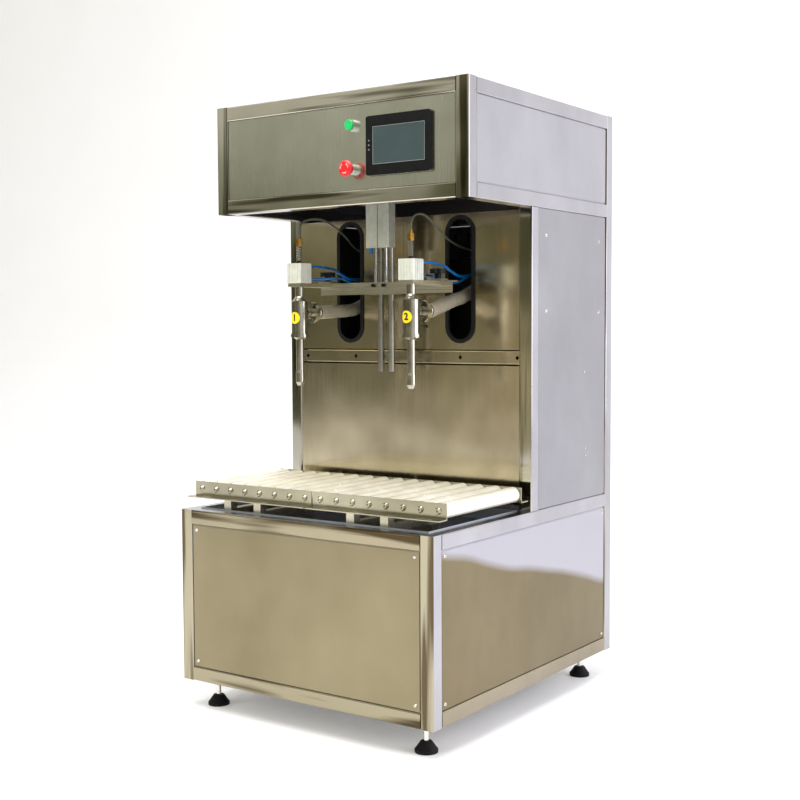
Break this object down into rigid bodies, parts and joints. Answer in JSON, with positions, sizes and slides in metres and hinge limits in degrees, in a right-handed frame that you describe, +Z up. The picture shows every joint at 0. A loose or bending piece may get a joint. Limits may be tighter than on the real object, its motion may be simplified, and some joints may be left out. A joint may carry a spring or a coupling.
{
  "type": "two-nozzle liquid filling machine",
  "caption": "Stand-mounted two-nozzle liquid filler with a nozzle lift over two roller weigh decks, metering cylinders in its column and a touch panel on its head.",
  "frame": {"origin": "on the floor, under the middle of the machine's footprint", "axes": "+Z up, -Y towards the operator, +X to the operator's right"},
  "size_m": [0.85, 0.98, 1.694],
  "materials": {
    "frame_tube": "brushed stainless square tube",
    "cover_sheet": "bright brushed stainless sheet",
    "steel_bright": "ground and polished stainless",
    "steel_turned": "turned hygienic stainless",
    "steel_satin": "satin stainless plate",
    "roller_sleeve": "bright stainless sleeve",
    "anodised": "pale natural anodised aluminium",
    "black_rubber": "black rubber, matt",
    "black_plastic": "black moulded nylon",
    "blue_tube": "blue polyurethane tube",
    "clear_hose": "translucent braided hose",
    "green_button": "green translucent cap",
    "red_button": "red mushroom head"
  },
  "bodies": {
    "stand": {"base_frame": "frame_tube", "column_frame": "frame_tube", "head_frame": "frame_tube", "base_covers": "cover_sheet", "column_covers": "cover_sheet", "bay_panels": "cover_sheet", "slot_edging": "black_rubber", "head_front_panel": "cover_sheet", "head_covers": "cover_sheet", "cover_screws": "steel_bright", "levelling_feet": "black_rubber", "weigh_supports": "steel_satin", "roller_deck_left": "steel_satin", "roller_deck_right": "steel_satin", "lift_cylinder": "anodised", "guide_rods": "steel_bright", "control_fittings": "black_plastic", "metering_rack": "steel_satin", "metering_barrels": "steel_turned", "metering_valves": "steel_turned", "drive_cylinders": "anodised", "product_pipes": "steel_turned", "air_manifold": "black_plastic"},
    "carriage": {"lift_rods": "steel_bright", "crossbar": "steel_satin", "air_lines": "blue_tube"},
    "nozzle_left": {"nozzle_bracket_left": "steel_satin", "nozzle_actuator_left": "anodised", "nozzle_body_left": "steel_turned", "filling_tube_left": "steel_turned", "product_hose_left": "clear_hose"},
    "plunger_left": {"nozzle_plunger_left": "steel_bright"},
    "knob_left": {"clamp_knob_left": "black_plastic"},
    "nozzle_right": {"nozzle_bracket_right": "steel_satin", "nozzle_actuator_right": "anodised", "nozzle_body_right": "steel_turned", "filling_tube_right": "steel_turned", "product_hose_right": "clear_hose"},
    "plunger_right": {"nozzle_plunger_right": "steel_bright"},
    "knob_right": {"clamp_knob_right": "black_plastic"},
    "roller_left_1": {"roller_left_1": "roller_sleeve"},
    "roller_left_2": {"roller_left_2": "roller_sleeve"},
    "roller_left_3": {"roller_left_3": "roller_sleeve"},
    "roller_left_4": {"roller_left_4": "roller_sleeve"},
    "roller_left_5": {"roller_left_5": "roller_sleeve"},
    "roller_left_6": {"roller_left_6": "roller_sleeve"},
    "roller_left_7": {"roller_left_7": "roller_sleeve"},
    "roller_left_8": {"roller_left_8": "roller_sleeve"},
    "roller_right_1": {"roller_right_1": "roller_sleeve"},
    "roller_right_2": {"roller_right_2": "roller_sleeve"},
    "roller_right_3": {"roller_right_3": "roller_sleeve"},
    "roller_right_4": {"roller_right_4": "roller_sleeve"},
    "roller_right_5": {"roller_right_5": "roller_sleeve"},
    "roller_right_6": {"roller_right_6": "roller_sleeve"},
    "roller_right_7": {"roller_right_7": "roller_sleeve"},
    "roller_right_8": {"roller_right_8": "roller_sleeve"},
    "start_button": {"start_button": "green_button"},
    "emergency_stop": {"emergency_stop": "red_button"},
    "metering_piston_left": {"metering_piston_left": "steel_bright"},
    "metering_piston_right": {"metering_piston_right": "steel_bright"}
  },
  "joints": [
    {"name": "lift_slide", "type": "slide", "parent": "stand", "child": "carriage", "axis": [0, 0, 1], "range_m": [-0.08, 0.045], "deforming": ["product_hose_left", "product_hose_right", "air_lines"]},
    {"name": "nozzle_left_slide", "type": "slide", "parent": "carriage", "child": "nozzle_left", "axis": [1, 0, 0], "range_m": [-0.003, 0.04], "deforming": ["product_hose_left", "air_lines"]},
    {"name": "plunger_left_slide", "type": "slide", "parent": "nozzle_left", "child": "plunger_left", "axis": [0, 0, 1], "range_m": [0, 0.012]},
    {"name": "knob_left_turn", "type": "hinge", "parent": "nozzle_left", "child": "knob_left", "pos_m": [-0.192, -0.113, 1.2], "axis": [0, 0, 1], "range_deg": [-180, 180]},
    {"name": "nozzle_right_slide", "type": "slide", "parent": "carriage", "child": "nozzle_right", "axis": [1, 0, 0], "range_m": [-0.04, 0.04], "deforming": ["product_hose_right", "air_lines"]},
    {"name": "plunger_right_slide", "type": "slide", "parent": "nozzle_right", "child": "plunger_right", "axis": [0, 0, 1], "range_m": [0, 0.012]},
    {"name": "knob_right_turn", "type": "hinge", "parent": "nozzle_right", "child": "knob_right", "pos_m": [0.192, -0.113, 1.2], "axis": [0, 0, 1], "range_deg": [-180, 180]},
    {"name": "roller_left_1_spin", "type": "hinge", "parent": "stand", "child": "roller_left_1", "pos_m": [-0.40061, -0.246, 0.615], "axis": [0, 1, 0], "continuous": true},
    {"name": "roller_left_2_spin", "type": "hinge", "parent": "stand", "child": "roller_left_2", "pos_m": [-0.34715, -0.246, 0.615], "axis": [0, 1, 0], "continuous": true},
    {"name": "roller_left_3_spin", "type": "hinge", "parent": "stand", "child": "roller_left_3", "pos_m": [-0.29369, -0.246, 0.615], "axis": [0, 1, 0], "continuous": true},
    {"name": "roller_left_4_spin", "type": "hinge", "parent": "stand", "child": "roller_left_4", "pos_m": [-0.24023, -0.246, 0.615], "axis": [0, 1, 0], "continuous": true},
    {"name": "roller_left_5_spin", "type": "hinge", "parent": "stand", "child": "roller_left_5", "pos_m": [-0.18677, -0.246, 0.615], "axis": [0, 1, 0], "continuous": true},
    {"name": "roller_left_6_spin", "type": "hinge", "parent": "stand", "child": "roller_left_6", "pos_m": [-0.13331, -0.246, 0.615], "axis": [0, 1, 0], "continuous": true},
    {"name": "roller_left_7_spin", "type": "hinge", "parent": "stand", "child": "roller_left_7", "pos_m": [-0.07985, -0.246, 0.615], "axis": [0, 1, 0], "continuous": true},
    {"name": "roller_left_8_spin", "type": "hinge", "parent": "stand", "child": "roller_left_8", "pos_m": [-0.02638, -0.246, 0.615], "axis": [0, 1, 0], "continuous": true},
    {"name": "roller_right_1_spin", "type": "hinge", "parent": "stand", "child": "roller_right_1", "pos_m": [0.02638, -0.246, 0.615], "axis": [0, 1, 0], "continuous": true},
    {"name": "roller_right_2_spin", "type": "hinge", "parent": "stand", "child": "roller_right_2", "pos_m": [0.07985, -0.246, 0.615], "axis": [0, 1, 0], "continuous": true},
    {"name": "roller_right_3_spin", "type": "hinge", "parent": "stand", "child": "roller_right_3", "pos_m": [0.13331, -0.246, 0.615], "axis": [0, 1, 0], "continuous": true},
    {"name": "roller_right_4_spin", "type": "hinge", "parent": "stand", "child": "roller_right_4", "pos_m": [0.18677, -0.246, 0.615], "axis": [0, 1, 0], "continuous": true},
    {"name": "roller_right_5_spin", "type": "hinge", "parent": "stand", "child": "roller_right_5", "pos_m": [0.24023, -0.246, 0.615], "axis": [0, 1, 0], "continuous": true},
    {"name": "roller_right_6_spin", "type": "hinge", "parent": "stand", "child": "roller_right_6", "pos_m": [0.29369, -0.246, 0.615], "axis": [0, 1, 0], "continuous": true},
    {"name": "roller_right_7_spin", "type": "hinge", "parent": "stand", "child": "roller_right_7", "pos_m": [0.34715, -0.246, 0.615], "axis": [0, 1, 0], "continuous": true},
    {"name": "roller_right_8_spin", "type": "hinge", "parent": "stand", "child": "roller_right_8", "pos_m": [0.40061, -0.246, 0.615], "axis": [0, 1, 0], "continuous": true},
    {"name": "start_push", "type": "slide", "parent": "stand", "child": "start_button", "axis": [0, 1, 0], "range_m": [0, 0.004], "stiffness_N_per_m": 400, "springref_m": -0.003},
    {"name": "emergency_push", "type": "slide", "parent": "stand", "child": "emergency_stop", "axis": [0, 1, 0], "range_m": [0, 0.005]},
    {"name": "metering_stroke_left", "type": "slide", "parent": "stand", "child": "metering_piston_left", "axis": [0, 0, 1], "range_m": [-0.06, 0.06]},
    {"name": "metering_stroke_right", "type": "slide", "parent": "stand", "child": "metering_piston_right", "axis": [0, 0, 1], "range_m": [-0.06, 0.06]}
  ]
}
